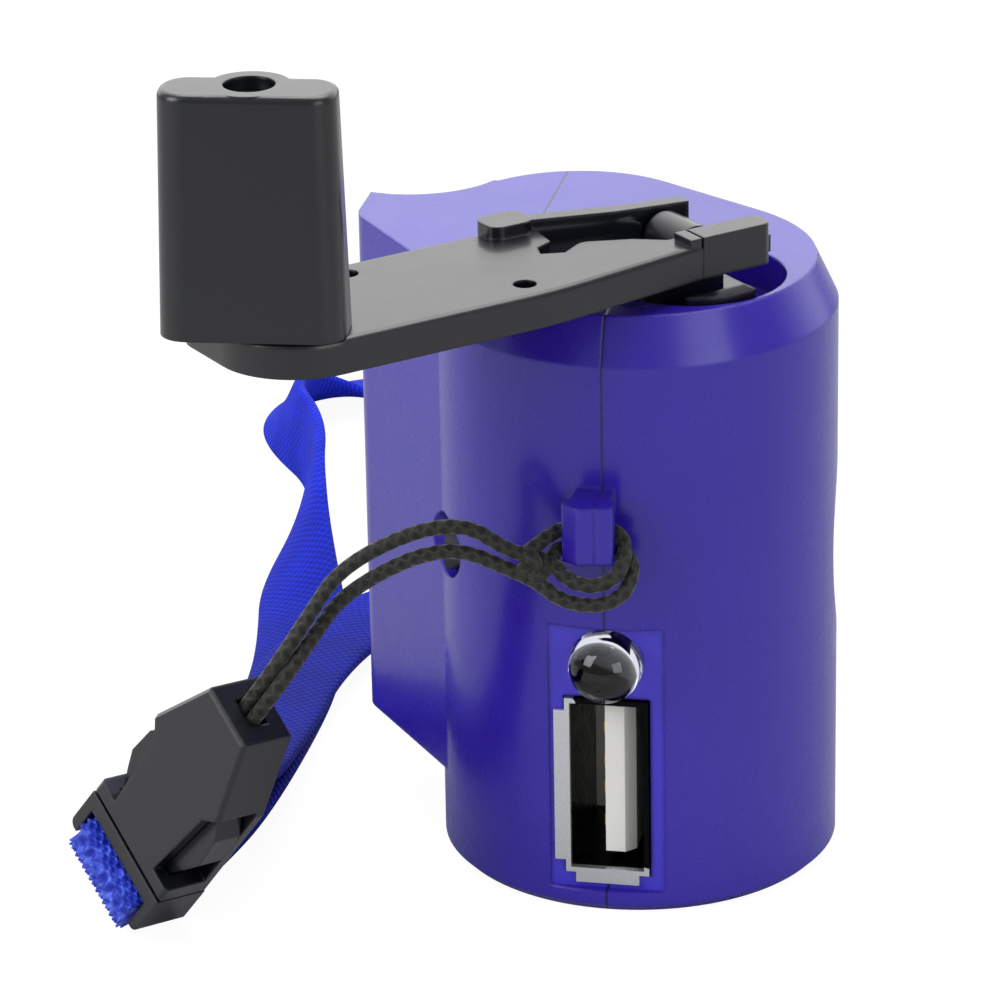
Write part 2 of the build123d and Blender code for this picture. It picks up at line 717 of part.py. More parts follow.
def arm_plan():
    """Plate outline: narrow at the hub, broad towards the knob, with a rounded end."""
    corners = ((2.9, -4.0), (8.6, -5.7), (14.0, -ARM_HALF_W), (ARM_END_S, -ARM_HALF_W),
               (ARM_END_S, ARM_HALF_W), (15.0, ARM_HALF_W), (2.0, PRONG_OUT))
    plan = Polygon(*corners, align=None)
    back = plan.vertices().sort_by_distance((ARM_END_S, -ARM_HALF_W, 0))[0]
    plan = fillet(back, 2.4)
    front = plan.vertices().sort_by_distance((ARM_END_S, ARM_HALF_W, 0))[0]
    plan = fillet(front, 5.6)
    shoulder = plan.vertices().sort_by_distance((15.0, ARM_HALF_W, 0))[0]
    return fillet(shoulder, 30.0)


def arm_window():
    """Cut-out behind the hub, with a hooked tongue at its far end."""
    corners = ((-2.0, -2.1), (-2.0, 2.1), (3.4, 2.1), (5.2, 0.6), (8.4, -0.9), (10.4, 0.3),
               (11.9, -0.4), (11.4, -1.6), (10.0, -2.2), (9.6, -4.7), (4.2, -3.1), (3.0, -2.1))
    plan = Polygon(*corners, align=None)
    plan = fillet(plan.vertices().sort_by_distance((8.4, -0.9, 0))[0], 1.2)
    return fillet(plan.vertices().sort_by_distance((5.2, 0.6, 0))[0], 0.8)


def arm_rim():
    """Raised wall along the rear edge beside the cut-out."""
    corners = ((9.9, -5.95), (9.9, -4.9), (4.2, -3.1), (REAR_PRONG_END_S, -2.1),
               (REAR_PRONG_END_S, -3.3), (2.9, -4.0), (8.6, -5.7))
    plan = Polygon(*corners, align=None)
    return prism(plan, ARM_Z0, RIM_TOP_Z - ARM_Z0)


def crank_arm():
    top = ARM_Z0 + ARM_T
    plate_part = prism(arm_plan(), ARM_Z0, ARM_T)
    rim = [e for e in plate_part.faces().sort_by(Axis.Z)[-1].edges()]
    plate_part = fillet(rim, 0.4)
    plate_part = plate_part - prism(arm_window(), ARM_Z0 - 1, ARM_T + 6)
    front = box(PRONG_END_S, 3.0, PRONG_OUT - PRONG_T, PRONG_OUT, ARM_Z0, PRONG_TOP_Z)
    front = fillet(front.edges().filter_by(Axis.Z).sort_by(Axis.X)[:2], 0.7)
    slope = box(1.95, 2.15, 0, 10, ARM_Z0, PRONG_TOP_Z + 1)
    body = plate_part + (front - slope) + box(1.9, 3.2, 2.2, PRONG_OUT - 0.3, ARM_Z0, top) + arm_rim()
    nub = box(PRONG_END_S - 0.25, PRONG_END_S + 0.2, 2.7, 3.7, 45.4, 46.6)
    body = body + nub + clip_eye(top)
    for s, w in ((15.9, 4.0), (24.5, -4.4)):
        body = body - disc((s, w), 0.8, ARM_Z0 - 1, ARM_T + 2)
    pivot = hinge_bar(HINGE_R, -10, 10 + PRONG_OUT - PIN_IN)
    body = body - pivot - disc(KNOB_AT, 0.8, ARM_Z0 - 1, ARM_T + 2)
    hollow = underside_hollow()
    return to_crank(largest(body - hollow))


def clip_eye(top):
    """Raised bump with a slot under it on the rear edge."""
    bump = box(9.8, 13.2, -6.9, -4.2, ARM_Z0 + 0.6, top + 0.9)
    bump = fillet(bump.edges().filter_by(Axis.Z), 0.9)
    return bump


def underside_hollow():
    """Moulded hollow under the plate that leaves a floor 1.2 thick and two ribs."""
    hollow = box(14.0, 29.0, -ARM_HALF_W + 1.2, ARM_HALF_W - 1.2, ARM_Z0 - 1, ARM_Z0 + 1.2)
    hollow = fillet(hollow.edges().filter_by(Axis.Z), 1.5)
    for s in (18.8, 23.8):
        hollow = hollow - box(s, s + 0.9, -10, 10, 40, 60)
    for s, w in ((15.9, 4.0), (24.5, -4.4)):
        hollow = hollow - disc((s, w), 1.6, 40, 10)
    return hollow


def hinge_pin():
    """Steel pin through the post, pushed into the prongs from behind."""
    span = PRONG_OUT + REAR_PRONG_OUT - 2 * PIN_IN
    return to_crank(hinge_bar(HINGE_R, PIN_IN - REAR_PRONG_OUT, span))


def knob_plan(wider, deeper):
    return Pos(0, KNOB_FORE) * RectangleRounded(KNOB_W + wider, KNOB_D + deeper, KNOB_CORNER)


def crank_knob():
    """Tapered flat grip in front of a boss for its screw."""
    foot = ARM_Z0 + ARM_T + 0.1
    low = Pos(0, 0, foot) * knob_plan(*KNOB_FOOT)
    high = Pos(0, 0, foot + KNOB_H) * knob_plan(0, 0)
    grip = loft([low, high])
    grip = fillet(grip.faces().sort_by(Axis.Z)[-1].edges(), 0.45)
    boss = disc((0, 0), KNOB_BOSS_R, foot, KNOB_H)
    recess = disc((0, 0), KNOB_HEAD_R + 0.1, foot + KNOB_H - 2.2, 3)
    bore = disc((0, 0), KNOB_SCREW_R + RUN, foot - 1, KNOB_H + 2)
    grip = Rot(0, 0, KNOB_TURN) * (grip + boss)
    return to_crank(Pos(*KNOB_AT, 0) * (grip - recess - bore))


def knob_screw():
    """Shoulder screw on which the knob turns, fixed in the arm."""
    foot = ARM_Z0 + ARM_T + 0.1
    head = disc((0, 0), KNOB_HEAD_R, foot + KNOB_H - 2.1, 1.2)
    slot = box(-3, 3, -0.25, 0.25, foot + KNOB_H - 1.4, 100)
    shank = disc((0, 0), KNOB_SCREW_R, ARM_Z0 + ARM_T, KNOB_H - 2.0)
    thread = disc((0, 0), 0.8, ARM_Z0 + 0.2, ARM_T)
    return to_crank(Pos(*KNOB_AT, 0) * (head + shank + thread - slot))


def shell_screws():
    """Three self-tapping screws that hold the shells together."""
    screws = []
    for place_y, place_z, head_x, length in SCREWS:
        head = bar_x(head_x - 1.2, head_x - 0.02, place_y, place_z, SCREW_HEAD_R)
        cross = box(head_x - 2, head_x - 0.7, place_y - 0.2, place_y + 0.2,
                    place_z - 1.1, place_z + 1.1)
        shank = bar_x(head_x - 0.1, head_x + length, place_y, place_z, SCREW_R)
        screws.append(head + shank - cross)
    return Compound(children=screws)


# ------------------------------------------------------------------ lanyard


def buckle_plane():
    """Plane of the buckle: origin at the nose, X from the cord end to the nose."""
    return Plane(origin=BUCKLE_NOSE, x_dir=BUCKLE_X, z_dir=BUCKLE_N)


def to_buckle(shape):
    return buckle_plane().location * shape


def slab(corners, thick, z0=None):
    """Flat piece of the buckle, centred on its thickness unless z0 is given."""
    start = -thick / 2 if z0 is None else z0
    return prism(Polygon(*corners, align=None), start, thick)


def buckle_female():
    """Hollow socket half with side windows for the prongs and a cord eye at its neck."""
    x0 = -BUCKLE_L
    x1 = x0 + FEMALE_L
    half = BUCKLE_W / 2
    neck = BUCKLE_NECK / 2
    outline = ((x0, -neck), (x0, neck), (x0 + 6.5, half - 0.1), (x1, half), (x1, -half),
               (x0 + 6.5, 0.1 - half))
    body = slab(outline, BUCKLE_T)
    body = chamfer(body.faces().filter_by(Axis.Z).edges(), 0.25)
    body = body - box(x0 + 5.2, x1 + 1, 1.1 - half, half - 1.1, -PRONG_H / 2 - 0.15,
                      PRONG_H / 2 + 0.15)
    for side in (-1, 1):
        window = ((x1 - 1.3, side * 6), (x1 - 1.3, side * (half - 1.9)),
                  (x0 + 7.4, side * (half - 1.3)), (x0 + 6.0, side * (half - 0.1)),
                  (x0 + 6.0, side * 6))
        body = body - slab(window, BUCKLE_T + 1, -PRONG_H / 2 - 0.15)
    eye = box(x0 - 1, x0 + 2.4, -1.1, 1.1, -0.75, 0.75)
    return to_buckle(body - eye)


def prong_outline(x1, side):
    """Sprung arm that leaves the plug and swells into the finger pad in the window."""
    inner = BUCKLE_W / 2 - 2.2
    outer = BUCKLE_W / 2 - 1.2
    pad = BUCKLE_W / 2 + 0.15
    places = ((0.3, inner), (0.3, outer), (-1.7, outer), (-3.2, pad - 0.6), (-4.6, pad),
              (-7.2, pad - 0.2), (-9.0, outer), (-9.2, inner + 0.3), (-7.4, inner),
              (-2.0, inner - 0.1))
    return [(x1 + along, side * out) for along, out in places]


def buckle_male():
    """Plug half: two sprung prongs, a guide between them and the webbing bar at the nose."""
    half = BUCKLE_W / 2
    x1 = -BUCKLE_L + FEMALE_L + BUCKLE_GAP
    reach = WEB_W / 2 + 0.35
    frame = box(x1, 0, -half, half, -MALE_T / 2, MALE_T / 2)
    frame = fillet(frame.edges().filter_by(Axis.Z).sort_by(Axis.X)[-2:], 0.6)
    slot = box(x1 + 1.2, -BAR_L - 0.2, -reach, reach, -5, 5)
    body = frame - slot + box(x1 - 7.6, x1 + 0.5, -0.8, 0.8, -1.1, 1.1)
    for z0 in (-5, BAR_T / 2):
        body = body - box(x1 + 1.2, 3, -reach, reach, z0, z0 + 5 - BAR_T / 2)
    body = body - box(-0.2, 3, -reach, reach, -5, 5)
    for side in (-1, 1):
        body = body + slab(prong_outline(x1, side), PRONG_H)
    return to_buckle(body)


def strap_fold():
    """Doubled end of the webbing, wrapped round the bar at the nose."""
    x1 = -BUCKLE_L + FEMALE_L + BUCKLE_GAP
    height = BAR_T / 2 + 1.4
    outer = box(x1 + 1.3, 1.3, -WEB_W / 2, WEB_W / 2, -height, height)
    outer = fillet(outer.edges().filter_by(Axis.Y), 1.2)
    bar = box(-BAR_L - 0.25, -0.15, -WEB_W, WEB_W, -BAR_T / 2 - 0.05, BAR_T / 2 + 0.05)
    return to_buckle(outer - bar)


# Places on the table through which the webbing runs, from the buckle round behind and back.
STRAP_POINTS = ((-32.0, -16.8), (-30.8, 6.0), (-31.8, 29.0), (-35.6, 50.0), (-41.0, 66.0),
                (-37.5, 82.0), (-18.0, 88.0), (-1.0, 74.0), (2.0, 52.0), (-14.0, 38.0),
                (-25.5, 22.0), (-27.8, 2.0), (-30.0, -16.2))
STRAP_Z = 0.2

# Places through which the doubled cord runs, from the knot beside the lug to the buckle's eye,
# and twice round the post of the lug.
CORD_UPPER = ((-5.0, -17.8, 27.95), (-9.37, -17.68, 30.65), (-16.92, -18.06, 27.02),
              (-18.85, -21.85, 24.1), (-20.73, -25.82, 21.29), (-23.32, -24.45, 17.61))
CORD_LOWER = ((-5.1, -17.9, 26.88), (-9.97, -18.08, 28.85), (-16.82, -18.16, 25.02),
              (-18.48, -22.19, 22.79), (-20.1, -26.39, 20.63), (-22.68, -25.02, 16.95))
LOOP_POINTS = ((-3.7, -18.0, 26.3), (-1.9, -18.35, 25.1), (0.7, -18.35, 24.95),
               (2.35, -17.2, 25.7), (2.4, -15.3, 27.6), (-0.2, -14.95, 27.9),
               (-2.8, -15.3, 27.9), (-3.0, -17.2, 27.5), (-1.3, -18.1, 26.4),
               (0.6, -18.1, 26.3), (1.9, -17.0, 27.1), (1.85, -15.3, 29.1),
               (-0.5, -14.95, 29.3), (-2.6, -15.4, 29.3), (-4.1, -17.1, 28.5))
KNOT_C = (-4.1, -17.6, 27.3)
KNOT_R = 1.5


def bend_radii(points):
    """Arc at each corner as large as its two runs allow."""
    radii = []
    for before, here, after in zip(points, points[1:], points[2:]):
        into = Vector(*here) - Vector(*before)
        out = Vector(*after) - Vector(*here)
        turn = math.radians(into.get_angle(out))
        radii.append(0.45 * min(into.length, out.length) / math.tan(turn / 2))
    return radii


def report_route(name, points, radii, path):
    least = min(radii)
    print(f"{name}: length {path.length:.1f}, least bend radius {least:.2f}")


def tube(name, points, diameter):
    """Round tube along straight runs joined by tangent arcs."""
    radii = bend_radii(points)
    path = FilletPolyline(*points, radius=radii)
    section = Plane(origin=path @ 0, z_dir=path % 0) * Circle(diameter / 2)
    body = sweep(section, path=path)
    report_route(name, points, radii, path)
    share = body.volume / (math.pi * diameter ** 2 / 4 * path.length)
    print(f"{name}: volume over section times length {share:.3f}")
    return body


def cord_upper():
    return tube("cord_upper", CORD_UPPER, CORD_D)


def cord_lower():
    return tube("cord_lower", CORD_LOWER, CORD_D)


def cord_loop():
    return tube("cord_loop", LOOP_POINTS, CORD_D)


def cord_knot():
    return Pos(*KNOT_C) * Sphere(KNOT_R)


def strap():
    """Webbing that stands on its edge on the table, as a band along its path."""
    points = [(x, y, STRAP_Z) for x, y in STRAP_POINTS]
    radii = bend_radii(points)
    path = FilletPolyline(*points, radius=radii)
    start = Plane(origin=path @ 0, z_dir=path % 0, x_dir=(0, 0, 1))
    section = start * Pos(WEB_W / 2, 0) * Rectangle(WEB_W, WEB_T)
    body = sweep(section, path=path)
    report_route("strap", points, radii, path)
    share = body.volume / (WEB_W * WEB_T * path.length)
    print(f"strap: volume over section times length {share:.3f}")
    return body


PIECES = {
    "left_shell": lambda: shell(True),
    "right_shell": lambda: shell(False),
    "shell_screws": shell_screws,
    "crank_hub": crank_hub,
    "crank_shaft": crank_shaft,
    "crank_gear": crank_gear,
    "crank_arm": crank_arm,
    "hinge_pin": hinge_pin,
    "crank_knob": crank_knob,
    "knob_screw": knob_screw,
    "idler_gear_a": lambda: idler(IDLER_A, PHASE_A_WHEEL, PHASE_A, LEVEL_2),
    "idler_gear_b": lambda: idler(IDLER_B, PHASE_B_WHEEL, PHASE_B, LEVEL_3),
    "motor_pinion": motor_pinion,
    "gear_frame": gear_frame,
    "gear_cover": gear_cover,
    "frame_screws": frame_screws,
    "idler_axles": idler_axles,
    "motor_can": motor_can,
    "motor_cap": motor_cap,
    "motor_magnets": motor_magnets,
    "motor_rotor": motor_rotor,
    "motor_screws": motor_screws,
    "usb_shell": usb_shell,
    "usb_insulator": usb_insulator_cut,
    "usb_contacts": usb_contact_set,
    "led": led,
    "circuit_board": circuit_board,
    "capacitor": capacitor,
    "regulator": regulator,
    "inductor": inductor,
    "diodes": diodes,
    "buckle_female": buckle_female,
    "buckle_male": buckle_male,
    "strap_fold": strap_fold,
    "cord_upper": cord_upper,
    "cord_lower": cord_lower,
    "cord_loop": cord_loop,
    "cord_knot": cord_knot,
    "strap": strap,
}


def main():
    os.makedirs("parts", exist_ok=True)
    for name, make in PIECES.items():
        export_step(make(), f"parts/{name}.step")


main()
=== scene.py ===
"""Looks of the hand crank phone charger: finishes, cords, webbing, lamp, camera and light.

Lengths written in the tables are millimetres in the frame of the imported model; MM turns them to metres.
"""
import json
import math

import bpy
import numpy as np
from mathutils import Matrix, Vector


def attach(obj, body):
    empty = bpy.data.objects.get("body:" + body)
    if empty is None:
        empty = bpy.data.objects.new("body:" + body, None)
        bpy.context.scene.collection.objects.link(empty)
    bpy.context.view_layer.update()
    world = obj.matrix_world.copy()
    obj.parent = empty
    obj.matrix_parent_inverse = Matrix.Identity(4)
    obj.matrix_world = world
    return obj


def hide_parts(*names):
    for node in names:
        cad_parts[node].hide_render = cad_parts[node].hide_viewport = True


MM = 0.001
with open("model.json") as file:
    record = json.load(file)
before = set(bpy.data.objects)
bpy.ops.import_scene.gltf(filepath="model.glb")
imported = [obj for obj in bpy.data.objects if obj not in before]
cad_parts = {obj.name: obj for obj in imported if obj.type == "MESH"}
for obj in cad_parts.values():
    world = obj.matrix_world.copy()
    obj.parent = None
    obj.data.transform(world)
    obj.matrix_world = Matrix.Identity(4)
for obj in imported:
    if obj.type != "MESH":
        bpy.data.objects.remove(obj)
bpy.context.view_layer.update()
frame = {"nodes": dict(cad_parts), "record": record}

# ------------------------------------------------------------------ camera

CAMERA_HEADING = 11.45     # degrees from the socket's side towards the side dish
CAMERA_RISE = 22.11
CAMERA_ROLL = -1.05
CAMERA_AIM = (-9.43, -1.91, 25.44)
CAMERA_REACH = 376.4
CAMERA_LENS = 194.19       # on a 36 mm wide sensor


def place_camera():
    """The camera stands CAMERA_REACH from its aim, turned by heading, rise and roll."""
    a, e, r = (math.radians(v) for v in (CAMERA_HEADING, CAMERA_RISE, CAMERA_ROLL))
    back = Vector((math.sin(a) * math.cos(e), -math.cos(a) * math.cos(e), math.sin(e)))
    right = (-back).cross(Vector((0, 0, 1))).normalized()
    up = right.cross(-back)
    right, up = right * math.cos(r) + up * math.sin(r), up * math.cos(r) - right * math.sin(r)
    lens = bpy.data.cameras.new("view_of_photo")
    lens.lens = CAMERA_LENS
    lens.sensor_width = 36.0
    lens.clip_start = 0.01
    lens.clip_end = 20.0
    camera = bpy.data.objects.new("view_of_photo", lens)
    turn = Matrix((right, up, back)).transposed().to_4x4()
    aim = Vector(CAMERA_AIM) * MM
    camera.matrix_world = Matrix.Translation(aim + back * CAMERA_REACH * MM) @ turn
    bpy.context.collection.objects.link(camera)
    bpy.context.scene.camera = camera


# ------------------------------------------------------------------ colour and nodes

SEAM_STEPS = (             # from one y to the next by so much x
    (-10.9, -9.9, -2.6), (0.0, 6.0, -5.15))
SEAM_FRONT_Y = -14.1       # the lug in front of this place has no seam
SOCKET_DARK_Y = -12.9      # painted shade: the socket is painted black behind this place
SOCKET_BRIGHT_X = -2.2     # and its rim painted bright, a painted highlight, to the left of this one
SOCKET_BRIGHT_Z = 3.4      # and under this one
# the flat round the socket, painted lighter: a painted highlight
RECESS = ((-4.05, 4.05), (-13.2, -12.0), (1.55, 21.35))


def colour(hexcode, alpha=1.0):
    """sRGB hex to linear: c/12.92 near black, else ((c + 0.055) / 1.055) to the power 2.4."""
    channels = [int(hexcode[i:i + 2], 16) / 255 for i in (1, 3, 5)]
    return [c / 12.92 if c <= 0.04045 else ((c + 0.055) / 1.055) ** 2.4
            for c in channels] + [alpha]


def add(tree, kind, inputs=None, **settings):
    """Adds one node: settings are its properties, inputs are values or the sockets to link."""
    made = tree.nodes.new(kind)
    for key, value in settings.items():
        setattr(made, key, value)
    for socket, value in (inputs or {}).items():
        if isinstance(value, bpy.types.NodeSocket):
            tree.links.new(value, made.inputs[socket])
        else:
            made.inputs[socket].default_value = value
    return made


def new_material(name):
    """An empty material with its output; returns the material, its tree and the output."""
    material = bpy.data.materials.new(name)
    material.use_nodes = True
    tree = material.node_tree
    tree.nodes.clear()
    return material, tree, add(tree, "ShaderNodeOutputMaterial")


def per_metre(size_mm):
    """Noise scale at which one feature is about size_mm across on Object coordinates."""
    return 1.0 / (size_mm * MM)


def blend(tree, share, first, second):
    """Colour mix: first where share is 0, second where it is 1."""
    made = add(tree, "ShaderNodeMix", data_type="RGBA")
    for socket, value in ((0, share), (6, first), (7, second)):
        if isinstance(value, bpy.types.NodeSocket):
            tree.links.new(value, made.inputs[socket])
        else:
            made.inputs[socket].default_value = value
    return made.outputs[2]


def band(tree, value, half_mm, soft_mm):
    """1 where value, in metres, is within half_mm of zero, and 0 beyond a soft edge."""
    away = add(tree, "ShaderNodeMath", {0: value}, operation="ABSOLUTE").outputs[0]
    return add(tree, "ShaderNodeMapRange", {
        "Value": away, "From Min": half_mm * MM, "From Max": (half_mm + soft_mm) * MM,
        "To Min": 1.0, "To Max": 0.0}, interpolation_type="SMOOTHSTEP").outputs["Result"]


def seam_mask(tree, place):
    """The line where the two shells meet, running up the housing at x = the sum of SEAM_STEPS,
    each a ramp from one y to the next by so much x."""
    axes = add(tree, "ShaderNodeSeparateXYZ", {"Vector": place}).outputs
    away = axes["X"]
    for start, end, shift in SEAM_STEPS:
        step = add(tree, "ShaderNodeMapRange", {
            "Value": axes["Y"], "From Min": start * MM, "From Max": end * MM,
            "To Max": shift * MM}).outputs["Result"]
        away = add(tree, "ShaderNodeMath", {0: away, 1: step}, operation="SUBTRACT").outputs[0]
    wall = add(tree, "ShaderNodeMath", {0: axes["Y"], 1: SEAM_FRONT_Y * MM},
               operation="GREATER_THAN").outputs[0]
    return add(tree, "ShaderNodeMath", {0: band(tree, away, 0.05, 0.06), 1: wall},
               operation="MULTIPLY").outputs[0]


def recess_mask(tree, place):
    """1 inside the box RECESS: the flat round the socket, painted brighter as a painted highlight, as the
    photograph shows it."""
    middle = [(low + high) / 2 * MM for low, high in RECESS]
    half = [(high - low) / 2 * MM for low, high in RECESS]
    away = add(tree, "ShaderNodeVectorMath", {0: place, 1: middle}, operation="SUBTRACT")
    size = add(tree, "ShaderNodeVectorMath", {0: away.outputs["Vector"]}, operation="ABSOLUTE")
    room = add(tree, "ShaderNodeVectorMath", {0: half, 1: size.outputs["Vector"]},
               operation="SUBTRACT")
    axes = add(tree, "ShaderNodeSeparateXYZ", {"Vector": room.outputs["Vector"]}).outputs
    least = add(tree, "ShaderNodeMath", {0: axes["X"], 1: axes["Y"]}, operation="MINIMUM")
    least = add(tree, "ShaderNodeMath", {0: least.outputs[0], 1: axes["Z"]}, operation="MINIMUM")
    return add(tree, "ShaderNodeMath", {0: least.outputs[0], 1: 0.0},
               operation="GREATER_THAN").outputs[0]


def moulded(name, dark, light, rough, grain_mm, grain_depth_mm, coat=0.0, glow=0.0, edge_mm=0.0,
            seam=False):
    """Injection-moulded plastic: the colour drifts softly over the piece, the sheen changes
    in patches a few millimetres across, and a fine spark-eroded grain roughens the gloss.
    edge_mm rounds the light on the edges, and seam paints the dark line between two shells and also a
    painted highlight, a lighter colour, on the flat round the socket."""
    material, tree, out = new_material(name)
    place = add(tree, "ShaderNodeTexCoord").outputs["Object"]
    drift = add(tree, "ShaderNodeTexNoise", {"Vector": place, "Scale": per_metre(22),
                                              "Detail": 2.0}).outputs["Fac"]
    patches = add(tree, "ShaderNodeTexNoise", {"Vector": place, "Scale": per_metre(3.5),
                                                "Detail": 4.0, "Roughness": 0.6}).outputs["Fac"]
    grain = add(tree, "ShaderNodeTexNoise", {"Vector": place, "Scale": per_metre(grain_mm),
                                              "Detail": 3.0}).outputs["Fac"]
    ramp = add(tree, "ShaderNodeValToRGB", {"Fac": drift})
    ramp.color_ramp.elements[0].position = 0.3
    ramp.color_ramp.elements[0].color = colour(dark)
    ramp.color_ramp.elements[1].position = 0.7
    ramp.color_ramp.elements[1].color = colour(light)
    sheen = add(tree, "ShaderNodeMapRange", {"Value": patches, "To Min": rough - 0.05,
                                              "To Max": rough + 0.06}).outputs["Result"]
    bump = add(tree, "ShaderNodeBump", {"Height": grain, "Strength": 0.2,
                                         "Distance": grain_depth_mm * MM})
    if edge_mm:
        soft = add(tree, "ShaderNodeBevel", {"Radius": edge_mm * MM}, samples=4)
        tree.links.new(soft.outputs["Normal"], bump.inputs["Normal"])
    tint = ramp.outputs["Color"]
    if seam:
        # the recess colour is a painted highlight; the seam colour is the dark joint between the shells
        for mask, shade in ((recess_mask, "#3D2FC8"), (seam_mask, "#170E5C")):
            tint = blend(tree, mask(tree, place), tint, colour(shade))
    shader = add(tree, "ShaderNodeBsdfPrincipled", {
        "Base Color": tint, "Roughness": sheen, "Normal": bump.outputs["Normal"],
        "IOR": 1.53, "Coat Weight": coat, "Coat Roughness": 0.12,
        "Subsurface Weight": glow, "Subsurface Scale": 1.2 * MM})
    shader.inputs["Subsurface Radius"].default_value = (0.35, 0.3, 1.0)
    tree.links.new(shader.outputs["BSDF"], out.inputs["Surface"])
    return material


def metal(name, tint, rough, scratch_mm, stretch=(1, 1, 1)):
    """Bare metal: the roughness varies along fine drawn or turned lines."""
    material, tree, out = new_material(name)
    place = add(tree, "ShaderNodeTexCoord").outputs["Object"]
    lined = add(tree, "ShaderNodeMapping", {"Vector": place, "Scale": stretch}).outputs["Vector"]
    lines = add(tree, "ShaderNodeTexNoise", {"Vector": lined, "Scale": per_metre(scratch_mm),
                                              "Detail": 4.0}).outputs["Fac"]
    tone = add(tree, "ShaderNodeMapRange", {"Value": lines, "To Min": rough - 0.08,
                                             "To Max": rough + 0.1}).outputs["Result"]
    bump = add(tree, "ShaderNodeBump", {"Height": lines, "Strength": 0.15,
                                         "Distance": 0.02 * MM}).outputs["Normal"]
    shader = add(tree, "ShaderNodeBsdfPrincipled", {
        "Base Color": colour(tint), "Metallic": 1.0, "Roughness": tone, "Normal": bump})
    tree.links.new(shader.outputs["BSDF"], out.inputs["Surface"])
    return material


def tinned_socket():
    """Tin-plated sheet with painted light: a painted highlight on the left and lower rim of the socket,
    and painted shade, black, on the rest of the rim and inside. The places are painted after the
    photograph; no light makes them so."""
    material, tree, out = new_material("tin_plated_sheet")
    place = add(tree, "ShaderNodeTexCoord").outputs["Object"]
    axes = add(tree, "ShaderNodeSeparateXYZ", {"Vector": place}).outputs
    speckle = add(tree, "ShaderNodeTexNoise", {"Vector": place, "Scale": per_metre(0.9),
                                              "Detail": 3.0}).outputs["Fac"]
    wave = add(tree, "ShaderNodeMapRange", {"Value": speckle, "To Min": -0.5 * MM,
                                             "To Max": 0.5 * MM}).outputs["Result"]
    bright = []
    for axis, edge in (("X", SOCKET_BRIGHT_X), ("Z", SOCKET_BRIGHT_Z)):
        shifted = add(tree, "ShaderNodeMath", {0: axes[axis], 1: wave}, operation="ADD")
        bright.append(add(tree, "ShaderNodeMath", {0: shifted.outputs[0], 1: edge * MM},
                          operation="LESS_THAN").outputs[0])
    rim = add(tree, "ShaderNodeMath", {0: bright[0], 1: bright[1]}, operation="MAXIMUM")
    outer = add(tree, "ShaderNodeMath", {0: axes["Y"], 1: SOCKET_DARK_Y * MM},
                operation="LESS_THAN")
    painted_lit_rim = add(tree, "ShaderNodeMath", {0: rim.outputs[0], 1: outer.outputs[0]},
                operation="MULTIPLY").outputs[0]
    tone = add(tree, "ShaderNodeMapRange", {"Value": speckle, "To Min": 0.16,
                                             "To Max": 0.42}).outputs["Result"]
    # painted highlight on the left and lower rim, painted shade, black, everywhere else
    shader = add(tree, "ShaderNodeBsdfPrincipled", {
        "Base Color": blend(tree, painted_lit_rim, colour("#0C0B10"), colour("#E4E6EA")),
        "Metallic": 0.9, "Roughness": tone})
    tree.links.new(shader.outputs["BSDF"], out.inputs["Surface"])
    return material


def clear_epoxy():
    """Water-clear cast epoxy: sharp gloss, bends what lies behind it, faintly blue."""
    material, tree, out = new_material("clear_cast_epoxy")
    place = add(tree, "ShaderNodeTexCoord").outputs["Object"]
    cloud = add(tree, "ShaderNodeTexNoise", {"Vector": place, "Scale": per_metre(1.5),
                                              "Detail": 2.0}).outputs["Fac"]
    tone = add(tree, "ShaderNodeMapRange", {"Value": cloud, "To Min": 0.0,
                                             "To Max": 0.06}).outputs["Result"]
    shader = add(tree, "ShaderNodeBsdfPrincipled", {
        "Base Color": colour("#EEF1FA"), "Roughness": tone, "IOR": 1.54,
        "Transmission Weight": 1.0})
    tree.links.new(shader.outputs["BSDF"], out.inputs["Surface"])
    return material


